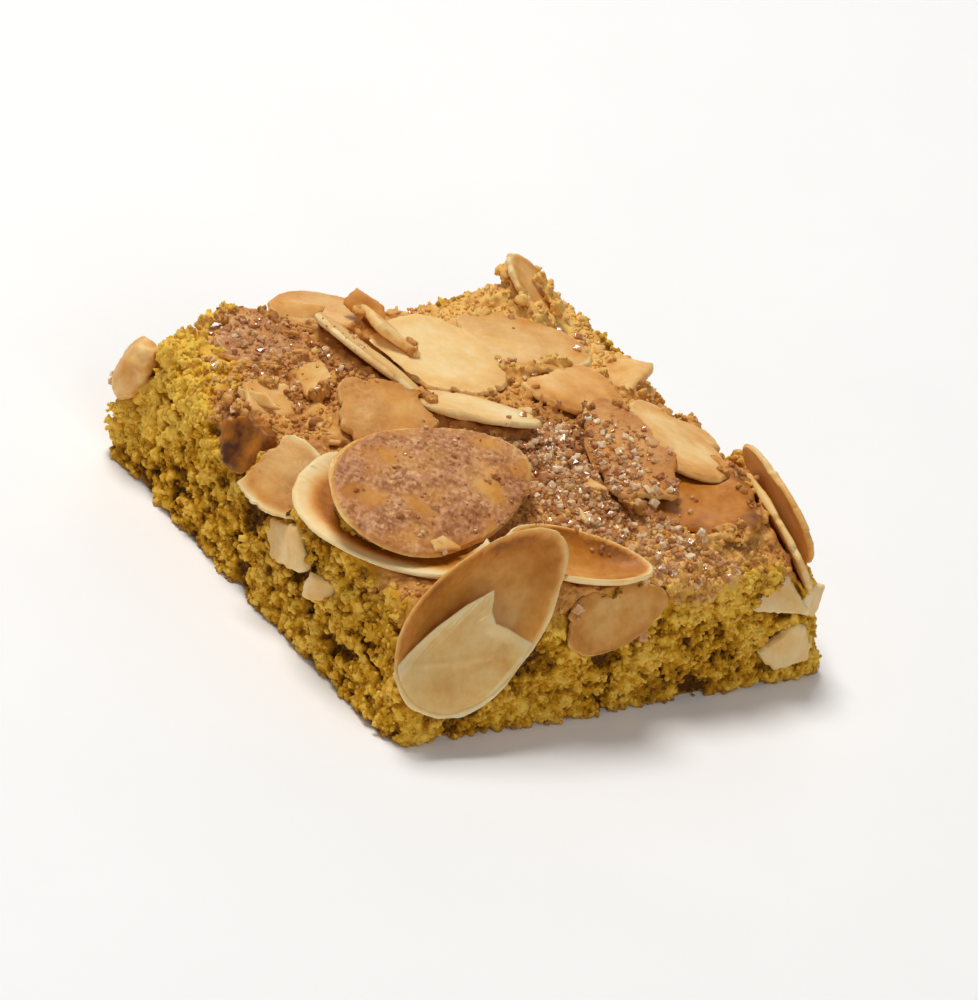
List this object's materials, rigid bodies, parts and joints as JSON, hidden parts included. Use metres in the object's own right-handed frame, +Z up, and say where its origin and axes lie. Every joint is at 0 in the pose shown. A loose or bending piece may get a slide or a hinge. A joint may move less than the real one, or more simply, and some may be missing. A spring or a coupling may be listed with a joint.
{
  "type": "almond biscuit",
  "caption": "Square almond biscuit: a thick slab of coarse golden dough, baked under flaked almonds and sugar.",
  "frame": {"origin": "the middle of the flat underside", "axes": "+Z up through the thickness, +X and +Y square to two of the four sides"},
  "size_m": [0.0535, 0.0527, 0.0197],
  "materials": {
    "dough": "coarse matt baked crumb, golden yellow on the sides and browned on top",
    "almond": "toasted almond slices, satin, cream in the middle and golden brown at the rim",
    "sugar": "coarse sugar crystals and melted sugar glaze, pale amber, glossy"
  },
  "bodies": {
    "root": {"biscuit_dough": "dough", "almond_flake_01": "almond", "almond_flake_02": "almond", "almond_flake_03": "almond", "almond_flake_04": "almond", "almond_flake_05": "almond", "almond_flake_06": "almond", "almond_flake_07": "almond", "almond_flake_08": "almond", "almond_flake_09": "almond", "almond_flake_10": "almond", "almond_flake_11": "almond", "almond_flake_12": "almond", "almond_flake_13": "almond", "almond_flake_14": "almond", "almond_flake_15": "almond", "almond_flake_16": "almond", "almond_flake_17": "almond", "almond_flake_18": "almond", "almond_flake_19": "almond", "almond_flake_20": "almond"}
  },
  "joints": []
}
